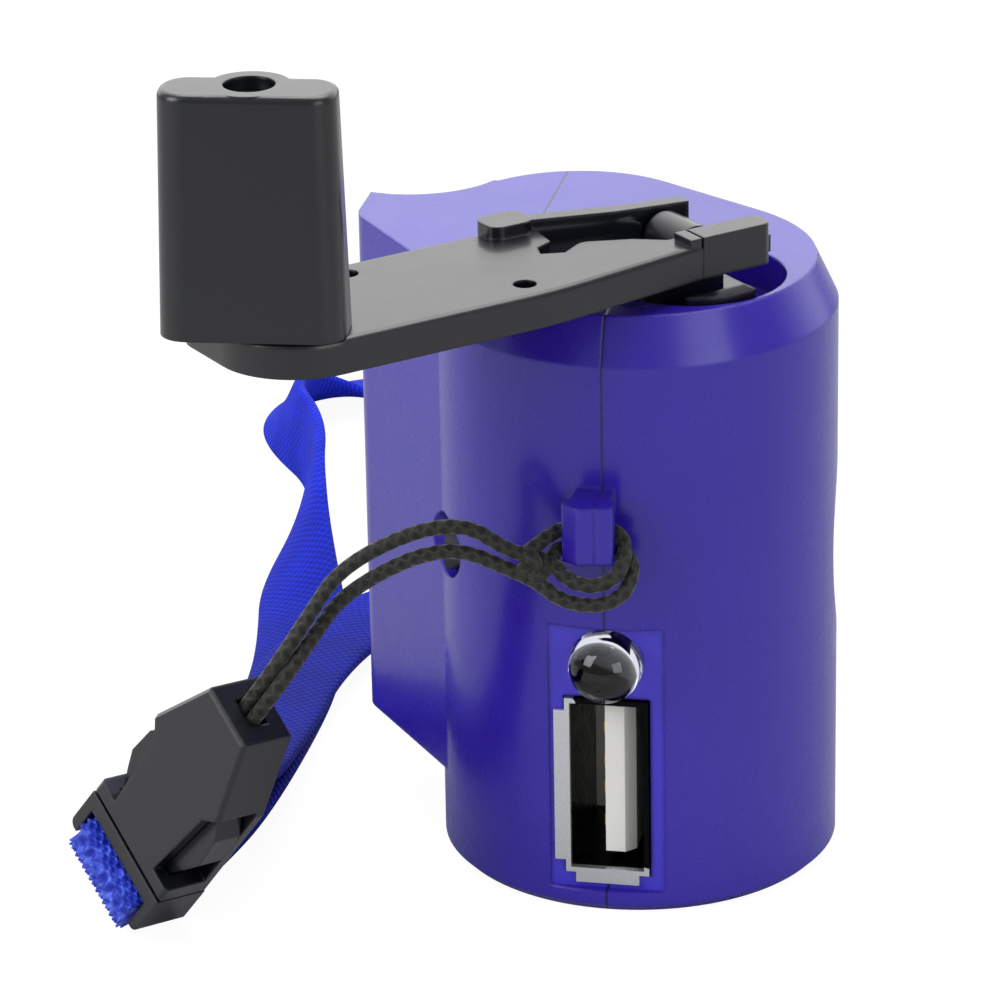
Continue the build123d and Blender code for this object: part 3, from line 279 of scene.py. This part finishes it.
def braided(name, dark, light, pitch_mm, round_mm):
    """Braided polyester cord: strands cross in two opposite helices, so two sets of diagonal
    waves on the UV map, length and girth in metres, give the plait its relief and shade."""
    material, tree, out = new_material(name)
    uv = add(tree, "ShaderNodeUVMap", uv_map="length_girth").outputs["UV"]
    axes = add(tree, "ShaderNodeSeparateXYZ", {"Vector": uv})
    along = add(tree, "ShaderNodeMath", {0: axes.outputs["X"], 1: 2 * math.pi / (pitch_mm * MM)},
                operation="MULTIPLY").outputs[0]
    girth = add(tree, "ShaderNodeMath", {0: axes.outputs["Y"], 1: 6 * math.pi / (round_mm * MM)},
                operation="MULTIPLY").outputs[0]
    waves = []
    for step in ("ADD", "SUBTRACT"):
        phase = add(tree, "ShaderNodeMath", {0: along, 1: girth}, operation=step).outputs[0]
        wave = add(tree, "ShaderNodeMath", {0: phase}, operation="SINE").outputs[0]
        waves.append(wave)
    plait = add(tree, "ShaderNodeMath", {0: waves[0], 1: waves[1]}, operation="MAXIMUM").outputs[0]
    level = add(tree, "ShaderNodeMapRange", {"Value": plait, "From Min": -0.6,
                                              "From Max": 1.0}).outputs["Result"]
    place = add(tree, "ShaderNodeTexCoord").outputs["Object"]
    fuzz = add(tree, "ShaderNodeTexNoise", {"Vector": place, "Scale": per_metre(0.12),
                                             "Detail": 2.0}).outputs["Fac"]
    shade = add(tree, "ShaderNodeMath", {0: level, 1: fuzz}, operation="MULTIPLY").outputs[0]
    ramp = add(tree, "ShaderNodeValToRGB", {"Fac": shade})
    ramp.color_ramp.elements[0].color = colour(dark)
    ramp.color_ramp.elements[1].position = 0.6
    ramp.color_ramp.elements[1].color = colour(light)
    bump = add(tree, "ShaderNodeBump", {"Height": level, "Strength": 0.9,
                                         "Distance": 0.12 * MM}).outputs["Normal"]
    shader = add(tree, "ShaderNodeBsdfPrincipled", {
        "Base Color": ramp.outputs["Color"], "Roughness": 0.62, "Normal": bump,
        "Sheen Weight": 0.25, "Sheen Roughness": 0.4})
    tree.links.new(shader.outputs["BSDF"], out.inputs["Surface"])
    return material


SHADED_Y = 22.0            # painted shade: the webbing is painted darker up to here, after the photograph
LIT_Y = 48.0
SHADED_SHARE = 0.62


def woven(name, dark, light, rib_mm, rib_depth_mm):
    """Woven nylon webbing: ribs run across the band and warp threads along it, so each
    crossing stands up as a small bead, drawn a little coarser than the thread to show."""
    material, tree, out = new_material(name)
    uv = add(tree, "ShaderNodeUVMap", uv_map="length_girth").outputs["UV"]
    axes = add(tree, "ShaderNodeSeparateXYZ", {"Vector": uv})
    turn = 2 * math.pi / (rib_mm * MM)
    along = add(tree, "ShaderNodeMath", {0: axes.outputs["X"], 1: turn},
                operation="MULTIPLY").outputs[0]
    across = add(tree, "ShaderNodeMath", {0: axes.outputs["Y"], 1: turn},
                 operation="MULTIPLY").outputs[0]
    rib = add(tree, "ShaderNodeMath", {0: along}, operation="SINE").outputs[0]
    warp = add(tree, "ShaderNodeMath", {0: across}, operation="SINE").outputs[0]
    bead = add(tree, "ShaderNodeMath", {0: rib, 1: warp}, operation="MULTIPLY").outputs[0]
    level = add(tree, "ShaderNodeMapRange", {"Value": bead, "From Min": -1.0,
                                              "From Max": 1.0}).outputs["Result"]
    place = add(tree, "ShaderNodeTexCoord").outputs["Object"]
    wear = add(tree, "ShaderNodeTexNoise", {"Vector": place, "Scale": per_metre(4.0),
                                             "Detail": 3.0}).outputs["Fac"]
    shade = add(tree, "ShaderNodeMath", {0: level, 1: wear}, operation="MULTIPLY").outputs[0]
    # the colour follows the beads, light on them and darker between them: painted shade on the weave's
    # relief, with a random drift in the tone
    ramp = add(tree, "ShaderNodeValToRGB", {"Fac": shade})
    ramp.color_ramp.elements[0].color = colour(dark)
    ramp.color_ramp.elements[1].position = 0.55
    ramp.color_ramp.elements[1].color = colour(light)
    # painted shade: the band is painted darker below SHADED_Y, by the charger, and clear of it above
    # LIT_Y
    back = add(tree, "ShaderNodeSeparateXYZ", {"Vector": place}).outputs["Y"]
    lit_share = add(tree, "ShaderNodeMapRange", {
        "Value": back, "From Min": SHADED_Y * MM, "From Max": LIT_Y * MM}).outputs["Result"]
    painted_shade_tint = blend(tree, SHADED_SHARE, ramp.outputs["Color"], colour("#0B0C3C"))
    shadowed = blend(tree, lit_share, painted_shade_tint, ramp.outputs["Color"])
    bump = add(tree, "ShaderNodeBump", {"Height": level, "Strength": 0.8,
                                         "Distance": rib_depth_mm * MM}).outputs["Normal"]
    shader = add(tree, "ShaderNodeBsdfPrincipled", {
        "Base Color": shadowed, "Roughness": 0.7, "Normal": bump, "Specular IOR Level": 0.15,
        "Sheen Weight": 0.04, "Sheen Roughness": 0.35, "Sheen Tint": colour("#3C55FF")})
    tree.links.new(shader.outputs["BSDF"], out.inputs["Surface"])
    return material


def knitted(name, dark, light, knot_mm, depth_mm):
    """Webbing bunched over the buckle's bar: yarn in round loops about knot_mm across."""
    material, tree, out = new_material(name)
    place = add(tree, "ShaderNodeTexCoord").outputs["Object"]
    loops = add(tree, "ShaderNodeTexVoronoi", {"Vector": place, "Scale": per_metre(knot_mm),
                                                "Randomness": 0.55}).outputs["Distance"]
    fibre = add(tree, "ShaderNodeTexNoise", {"Vector": place, "Scale": per_metre(0.25),
                                              "Detail": 2.0}).outputs["Fac"]
    height = add(tree, "ShaderNodeMapRange", {"Value": loops, "From Max": 0.75, "To Min": 1.0,
                                               "To Max": 0.0}).outputs["Result"]
    shade = add(tree, "ShaderNodeMath", {0: height, 1: fibre}, operation="MULTIPLY").outputs[0]
    # the colour follows the loops, light on them and darker between them: painted shade on the yarn's
    # relief
    ramp = add(tree, "ShaderNodeValToRGB", {"Fac": shade})
    ramp.color_ramp.elements[0].position = 0.12
    ramp.color_ramp.elements[0].color = colour(dark)
    ramp.color_ramp.elements[1].position = 0.45
    ramp.color_ramp.elements[1].color = colour(light)
    bump = add(tree, "ShaderNodeBump", {"Height": height, "Strength": 1.0,
                                         "Distance": depth_mm * MM}).outputs["Normal"]
    shader = add(tree, "ShaderNodeBsdfPrincipled", {
        "Base Color": ramp.outputs["Color"], "Roughness": 0.5, "Normal": bump})
    tree.links.new(shader.outputs["BSDF"], out.inputs["Surface"])
    return material


def make_finishes():
    """One material for each slot of the record."""
    return {
        "shell_plastic": moulded("ultramarine_gloss_abs", "#2B17A0", "#331FAA", 0.27, 0.20, 0.002,
                                 coat=0.2, edge_mm=0.35, seam=True),
        "black_plastic": moulded("black_satin_nylon", "#06080F", "#0B0E17", 0.33, 0.20, 0.006,
                                 coat=0.4, edge_mm=0.3),
        "gear_nylon": moulded("natural_nylon", "#DAD6C4", "#E8E4D4", 0.38, 0.20, 0.006, glow=0.1),
        "frame_plastic": moulded("black_abs", "#222327", "#2C2D31", 0.45, 0.20, 0.010),
        "cream_plastic": moulded("cream_pbt", "#EFEEE8", "#FAF9F4", 0.42, 0.15, 0.004),
        "board": moulded("green_solder_mask", "#0E4A26", "#14602F", 0.30, 0.30, 0.006),
        "component_black": moulded("moulded_epoxy", "#18181A", "#232326", 0.5, 0.08, 0.010),
        "capacitor_sleeve": moulded("shrink_sleeve", "#14172A", "#1C2038", 0.28, 0.30, 0.004),
        "magnet": moulded("sintered_ferrite", "#232325", "#303033", 0.6, 0.15, 0.012),
        # the photograph shows only the knob's screw; all other steel takes its dark finish
        "steel": metal("blackened_steel", "#55575C", 0.38, 0.08, (1, 1, 12)),
        "tin_plate": tinned_socket(),
        "copper_rotor": metal("enamelled_copper", "#B4653A", 0.32, 0.18, (1, 1, 8)),
        "contact_gold": metal("gold_flashed_brass", "#D9B665", 0.25, 0.15, (1, 5, 1)),
        "lamp_epoxy": clear_epoxy(),
        "cord_braid": braided("black_braided_cord", "#050504", "#2A2B22", 1.0, math.pi),
        "bunched_webbing": knitted("bunched_blue_webbing", "#2238C0", "#5E7CFF", 0.9, 0.15),
        "webbing": woven("bright_blue_webbing", "#0C1AA0", "#1C36F0", 0.75, 0.10),
    }


# ------------------------------------------------------------------ meshes from surfaces


def mesh_piece(name, points, faces, finish, uv=None):
    """Puts points (metres) and faces into a smooth mesh piece that rides on the housing."""
    mesh = bpy.data.meshes.new(name)
    mesh.from_pydata(points.tolist(), [], faces)
    mesh.update()
    if uv is not None:
        layer = mesh.uv_layers.new(name="length_girth")
        layer.data.foreach_set("uv", uv.astype(np.float32).ravel())
    mesh.polygons.foreach_set("use_smooth", np.ones(len(mesh.polygons), bool))
    piece = bpy.data.objects.new(name, mesh)
    piece.data.materials.append(finish)
    bpy.context.collection.objects.link(piece)
    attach(piece, "housing")
    return piece


def grid_faces(rows, columns):
    """Quads of a rows by columns grid whose columns close into a ring."""
    r = np.arange(rows - 1)[:, None]
    c = np.arange(columns)[None, :]
    after = (c + 1) % columns
    quads = np.stack([r * columns + c, r * columns + after,
                      (r + 1) * columns + after, (r + 1) * columns + c], axis=-1)
    return quads.reshape(-1, 4)


def smooth_route(name, points):
    """Metre points along a NURBS curve whose control points are the route, in millimetres."""
    curve = bpy.data.curves.new(name, "CURVE")
    curve.dimensions = "3D"
    curve.resolution_u = 24
    spline = curve.splines.new("NURBS")
    spline.points.add(len(points) - 1)
    for knot, place in zip(spline.points, points):
        knot.co = (place[0] * MM, place[1] * MM, place[2] * MM, 1.0)
    spline.order_u = 3
    spline.use_endpoint_u = True
    guide = bpy.data.objects.new(name, curve)
    mesh = bpy.data.meshes.new_from_object(guide)
    path = np.empty(len(mesh.vertices) * 3)
    mesh.vertices.foreach_get("co", path)
    bpy.data.objects.remove(guide)
    bpy.data.curves.remove(curve)
    bpy.data.meshes.remove(mesh)
    return path.reshape(-1, 3)


def unit(vectors):
    return vectors / np.linalg.norm(vectors, axis=-1, keepdims=True)


def lengths(path):
    """Distance along the path at each of its points."""
    steps = np.linalg.norm(np.diff(path, axis=0), axis=1)
    return np.concatenate([[0.0], np.cumsum(steps)])


def carried_frames(path, side):
    """Width and thickness directions: the side vectors made square to the path."""
    tangent = unit(np.gradient(path, axis=0))
    across = unit(side - np.sum(side * tangent, axis=1, keepdims=True) * tangent)
    return across, np.cross(tangent, across)


def steady_side(path):
    """Side vectors that turn with the path and never about it."""
    tangent = unit(np.gradient(path, axis=0))
    start = np.array([0.0, 0.0, 1.0])
    if abs(tangent[0, 2]) > 0.9:
        start = np.array([1.0, 0.0, 0.0])
    sides = [start - tangent[0] * (start @ tangent[0])]
    for heading in tangent[1:]:
        last = sides[-1]
        sides.append(last - heading * (last @ heading))
    return unit(np.array(sides))


def swept_piece(name, path, side, outline, finish):
    """Surface p(s, t) = path(s) + x(t) across(s) + y(t) thickness(s), closed at both ends.
    The outline holds x and y in millimetres; the UV map holds length and girth in metres."""
    across, thick = carried_frames(path, side)
    ring = outline * MM
    points = (path[:, None, :] + ring[None, :, 0:1] * across[:, None, :]
              + ring[None, :, 1:2] * thick[:, None, :])
    rows, columns = points.shape[:2]
    along = lengths(path)
    closed = np.concatenate([ring, ring[:1]])
    girth = lengths(closed)
    r, c = np.meshgrid(np.arange(rows - 1), np.arange(columns), indexing="ij")
    u = along[np.stack([r, r, r + 1, r + 1], axis=-1)]
    v = girth[np.stack([c, c + 1, c + 1, c], axis=-1)]
    uv = np.stack([u, v], axis=-1).reshape(-1, 2)
    here = np.arange(columns)
    after = (here + 1) % columns
    last = (rows - 1) * columns
    first_hub = np.full(columns, rows * columns)
    caps = np.concatenate([np.column_stack([after, here, first_hub]),
                           np.column_stack([here + last, after + last, first_hub + 1])])
    faces = grid_faces(rows, columns).tolist() + caps.tolist()
    vertices = np.vstack([points.reshape(-1, 3), path[:1], path[-1:]])
    padded = np.vstack([uv, np.zeros((caps.size, 2))])
    return mesh_piece(name, vertices, faces, finish, padded)


def round_outline(radius, count=20):
    t = np.linspace(0, 2 * math.pi, count, endpoint=False)
    return np.column_stack([radius * np.cos(t), radius * np.sin(t)])


def tape_outline(width, thick, count=44):
    """Flat oval: x = sign(cos) |cos|^0.35 w/2, y = sign(sin) |sin|^0.6 t/2."""
    t = np.linspace(0, 2 * math.pi, count, endpoint=False)
    x = np.sign(np.cos(t)) * np.abs(np.cos(t)) ** 0.35 * width / 2
    y = np.sign(np.sin(t)) * np.abs(np.sin(t)) ** 0.6 * thick / 2
    return np.column_stack([x, y])


# ------------------------------------------------------------------ cords

CORD_D = 1.0
CORD_UPPER = ((-5.0, -17.8, 27.95), (-9.37, -17.68, 30.65), (-16.92, -18.06, 27.02),
              (-18.85, -21.85, 24.1), (-20.73, -25.82, 21.29), (-23.32, -24.45, 17.61))
CORD_LOWER = ((-5.1, -17.9, 26.88), (-9.97, -18.08, 28.85), (-16.82, -18.16, 25.02),
              (-18.48, -22.19, 22.79), (-20.1, -26.39, 20.63), (-22.68, -25.02, 16.95))
CORD_LOOP = ((-3.7, -18.0, 26.3), (-1.9, -18.35, 25.1), (0.7, -18.35, 24.95), (2.35, -17.2, 25.7),
             (2.4, -15.3, 27.6), (-0.2, -14.95, 27.9), (-2.8, -15.3, 27.9), (-3.0, -17.2, 27.5),
             (-1.3, -18.1, 26.4), (0.6, -18.1, 26.3), (1.9, -17.0, 27.1), (1.85, -15.3, 29.1),
             (-0.5, -14.95, 29.3), (-2.6, -15.4, 29.3), (-4.1, -17.1, 28.5))
KNOT = (-4.1, -17.6, 27.3)


def make_cords(finish):
    """The lanyard cord is one length: in along the lower strand, twice round the post of the
    lug, and back along the upper strand to the buckle."""
    route = CORD_LOWER[::-1] + CORD_LOOP + CORD_UPPER
    path = smooth_route("lanyard_cord_route", route)
    cord = swept_piece("lanyard_cord_braid", path, steady_side(path),
                       round_outline(CORD_D / 2), finish)
    knot = knotted_ball(finish)
    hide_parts("cord_lower", "cord_loop", "cord_upper")
    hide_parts("cord_knot")


def knotted_ball(finish):
    """Overhand knot: a tube along (2 + cos 3t)(cos 2t, sin 2t), sin 3t, drawn tight."""
    t = np.linspace(0, 2 * math.pi, 160, endpoint=False)
    reach = 0.36
    x = (1.35 + np.cos(3 * t)) * np.cos(2 * t) * reach
    y = (1.35 + np.cos(3 * t)) * np.sin(2 * t) * reach
    z = np.sin(3 * t) * reach * 1.25
    path = (np.column_stack([x, z, y]) + np.array(KNOT)) * MM
    path = np.vstack([path, path[:1]])
    return swept_piece("cord_knot_braid", path, steady_side(path),
                       round_outline(CORD_D / 2, 16), finish)


STRAP_WIDTH = 7.0
STRAP_THICK = 1.1
STRAP_ROUTE = (
    # place, and how far the band leans from flat on the table, in degrees
    (-31.0, -17.0, 3.5, -49), (-30.6, -12.0, 2.6, -30), (-29.8, -4.0, 1.3, -6),
    (-29.6, 8.0, 0.7, 0), (-29.8, 19.0, 0.7, 0), (-31.4, 29.0, 0.9, 8),
    (-34.0, 38.0, 2.4, 40), (-35.2, 48.0, 4.0, 74), (-36.4, 57.0, 4.2, 86),
    (-41.6, 66.0, 3.9, 74), (-42.6, 75.0, 2.2, 35), (-37.0, 81.0, 0.9, 6),
    (-18.0, 84.0, 0.7, 0), (-4.0, 75.0, 0.7, 0), (0.0, 60.0, 0.7, 0),
    (-6.0, 47.0, 0.9, 0), (-17.0, 38.5, 1.6, 0), (-26.0, 31.0, 2.1, 0),
    (-29.2, 20.0, 2.1, 0), (-29.3, 8.0, 2.1, 0), (-29.2, -3.0, 3.0, -6),
    (-29.0, -11.0, 4.9, -28), (-29.4, -16.6, 5.4, -46))


def make_strap(finish):
    """The wrist loop of webbing, one ribbon along its route. Its width runs along
    cos(lean) side + sin(lean) up, where side is level and square to the route."""
    path = smooth_route("strap_route", [point[:3] for point in STRAP_ROUTE])
    leans = smooth_route("strap_lean", [(point[3], 0.0, 0.0) for point in STRAP_ROUTE])
    lean = np.radians(leans[:, 0:1] / MM)
    heading = unit(np.gradient(path, axis=0) * [1.0, 1.0, 0.0])
    level = np.column_stack([heading[:, 1], -heading[:, 0], heading[:, 2]])
    side = np.cos(lean) * level + np.sin(lean) * np.array([0.0, 0.0, 1.0])
    piece = swept_piece("strap_ribbon", path, side, tape_outline(STRAP_WIDTH, STRAP_THICK), finish)
    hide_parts("strap")


FOLD_AT = (-32.75, -19.57, 3.44)
FOLD_ALONG = (-0.551, 0.292, -0.782)
FOLD_OUT = (-0.587, -0.800, 0.118)
FOLD_MIDDLE = -0.6         # along the buckle, from its nose
FOLD_HALF = (1.8, 2.5)     # along the buckle and through it
FOLD_TURNS = 14
FOLD_ROWS = 7


def make_fold(finish):
    """The webbing bunched over the bar: a rounded box x = a sgn(cos) |cos|^0.5,
    z = b sgn(sin) |sin|^0.5, swollen by 0.24 cos(14 s) cos(7 w) into rows of yarn loops,
    where s goes round the bar and w across the band."""
    s = np.linspace(0, 2 * math.pi, 168, endpoint=False)
    w = np.linspace(0, 2 * math.pi, 84)
    round_x = np.sign(np.cos(s)) * np.abs(np.cos(s)) ** 0.5
    round_z = np.sign(np.sin(s)) * np.abs(np.sin(s)) ** 0.5
    swell = 0.24 * np.cos(FOLD_TURNS * s)[None, :] * np.cos(FOLD_ROWS * w)[:, None]
    x = FOLD_MIDDLE + (FOLD_HALF[0] + swell) * round_x[None, :]
    z = (FOLD_HALF[1] + swell) * round_z[None, :]
    y = np.broadcast_to(((w / math.pi - 1) * STRAP_WIDTH / 2)[:, None], x.shape)
    along, out = unit(np.array(FOLD_ALONG)), unit(np.array(FOLD_OUT))
    axes = np.array([along, np.cross(out, along), out])
    points = np.stack([x, y, z], axis=-1).reshape(-1, 3)
    ends = np.array([[FOLD_MIDDLE, side * STRAP_WIDTH / 2, 0.0] for side in (-1, 1)])
    points = (np.vstack([points, ends]) @ axes + np.array(FOLD_AT)) * MM
    rim = np.arange(len(s))
    after = (rim + 1) % len(s)
    last = (len(w) - 1) * len(s)
    hubs = len(points) - 2, len(points) - 1
    faces = (grid_faces(len(w), len(s))[:, ::-1].tolist()
             + [[a, b, hubs[0]] for a, b in zip(rim, after)]
             + [[b + last, a + last, hubs[1]] for a, b in zip(rim, after)])
    piece = mesh_piece("strap_fold_webbing", points, faces, finish)
    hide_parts("strap_fold")


# ------------------------------------------------------------------ floor, light, world


FLOOR_REACH = 6.0          # metres from the middle
FLOOR_OWN_LIGHT = 1.18
FLOOR_OWN_SHARE = 0.8      # the rest shows the shadow


def make_floor():
    """Wide pale floor: matt, half grey for the light on the charger and in its gloss, with its
    own light for the camera and through glass, so that it shows white like the backdrop and
    still keeps the shadow."""
    material, tree, out = new_material("pale_matt_floor")
    ray = add(tree, "ShaderNodeLightPath").outputs
    matt = add(tree, "ShaderNodeBsdfDiffuse", {"Color": colour("#BCBCBC")}).outputs["BSDF"]
    lit = add(tree, "ShaderNodeEmission", {"Color": (1, 1, 1, 1),
                                            "Strength": FLOOR_OWN_LIGHT}).outputs[0]
    seen = add(tree, "ShaderNodeMath", {0: ray["Is Camera Ray"], 1: ray["Is Transmission Ray"]},
               operation="MAXIMUM").outputs[0]
    share = add(tree, "ShaderNodeMath", {0: seen, 1: FLOOR_OWN_SHARE},
                operation="MULTIPLY").outputs[0]
    both = add(tree, "ShaderNodeMixShader", {"Fac": share, 1: matt, 2: lit}).outputs[0]
    tree.links.new(both, out.inputs["Surface"])
    corners = [(x * FLOOR_REACH, y * FLOOR_REACH, 0)
               for x, y in ((-1, -1), (1, -1), (1, 1), (-1, 1))]
    mesh = bpy.data.meshes.new("floor")
    mesh.from_pydata(corners, [], [(0, 1, 2, 3)])
    floor = bpy.data.objects.new("floor", mesh)
    floor.data.materials.append(material)
    bpy.context.collection.objects.link(floor)


def make_world():
    """White to the camera and through glass, and plain for light. Gloss alone sees a room that
    runs from GLOSS_FRONT at the camera's side to GLOSS_BACK behind the charger, brighter than
    the white of the camera: a made-up setting, to bring the reflections near the photograph's."""
    world = bpy.data.worlds.new("white_studio")
    bpy.context.scene.world = world
    world.use_nodes = True
    tree = world.node_tree
    tree.nodes.clear()
    ray = add(tree, "ShaderNodeLightPath").outputs
    place = add(tree, "ShaderNodeTexCoord").outputs["Generated"]
    behind = add(tree, "ShaderNodeSeparateXYZ", {"Vector": place}).outputs["Y"]
    gloss = add(tree, "ShaderNodeMapRange", {
        "Value": behind, "From Min": GLOSS_FROM, "From Max": GLOSS_TO, "To Min": GLOSS_FRONT,
        "To Max": GLOSS_BACK}, interpolation_type="SMOOTHSTEP").outputs["Result"]
    seen = add(tree, "ShaderNodeMath", {0: ray["Is Camera Ray"], 1: ray["Is Transmission Ray"]},
               operation="MAXIMUM").outputs[0]
    lit = add(tree, "ShaderNodeMix", {"Factor": ray["Is Glossy Ray"], "A": ROOM_LIGHT,
                                       "B": gloss}).outputs["Result"]
    strength = add(tree, "ShaderNodeMix", {"Factor": seen, "A": lit, "B": 1.0}).outputs["Result"]
    light = add(tree, "ShaderNodeBackground", {"Color": (1, 1, 1, 1), "Strength": strength})
    out = add(tree, "ShaderNodeOutputWorld")
    tree.links.new(light.outputs[0], out.inputs["Surface"])


ROOM_LIGHT = 0.55
GLOSS_FRONT = 0.3
GLOSS_BACK = 1.7
GLOSS_FROM = 0.1
GLOSS_TO = 0.75
LAMPS = (
    # name, place in mm, aim in mm, size in mm, watts
    ("soft_key", (-330, -260, 300), (-5, 0, 25), (260, 360), 1.3),
    ("soft_top", (40, 160, 460), (0, 0, 40), (420, 260), 1.4),
    ("soft_fill", (380, -320, 160), (0, 0, 20), (260, 260), 0.5),
)


def make_lamps():
    for name, place, aim, size, watts in LAMPS:
        lamp = bpy.data.lights.new(name, "AREA")
        lamp.shape = "RECTANGLE"
        lamp.size = size[0] * MM
        lamp.size_y = size[1] * MM
        lamp.energy = watts
        holder = bpy.data.objects.new(name, lamp)
        spot = Vector(place) * MM
        heading = (Vector(aim) * MM - spot).to_track_quat("-Z", "Y")
        holder.matrix_world = Matrix.Translation(spot) @ heading.to_matrix().to_4x4()
        bpy.context.collection.objects.link(holder)


# ------------------------------------------------------------------ all together


def paint_nodes(finishes):
    """Each CAD node takes the finish of its slot in the record."""
    for entry in frame["record"]["subparts"]:
        node = frame["nodes"][entry["node"]]
        node.data.materials.clear()
        node.data.materials.append(finishes[entry["material_slot"]])


place_camera()
FINISHES = make_finishes()
paint_nodes(FINISHES)
make_cords(FINISHES["cord_braid"])
make_strap(FINISHES["webbing"])
make_fold(FINISHES["bunched_webbing"])
make_floor()
make_world()
make_lamps()
bpy.context.scene.view_settings.view_transform = "Standard"
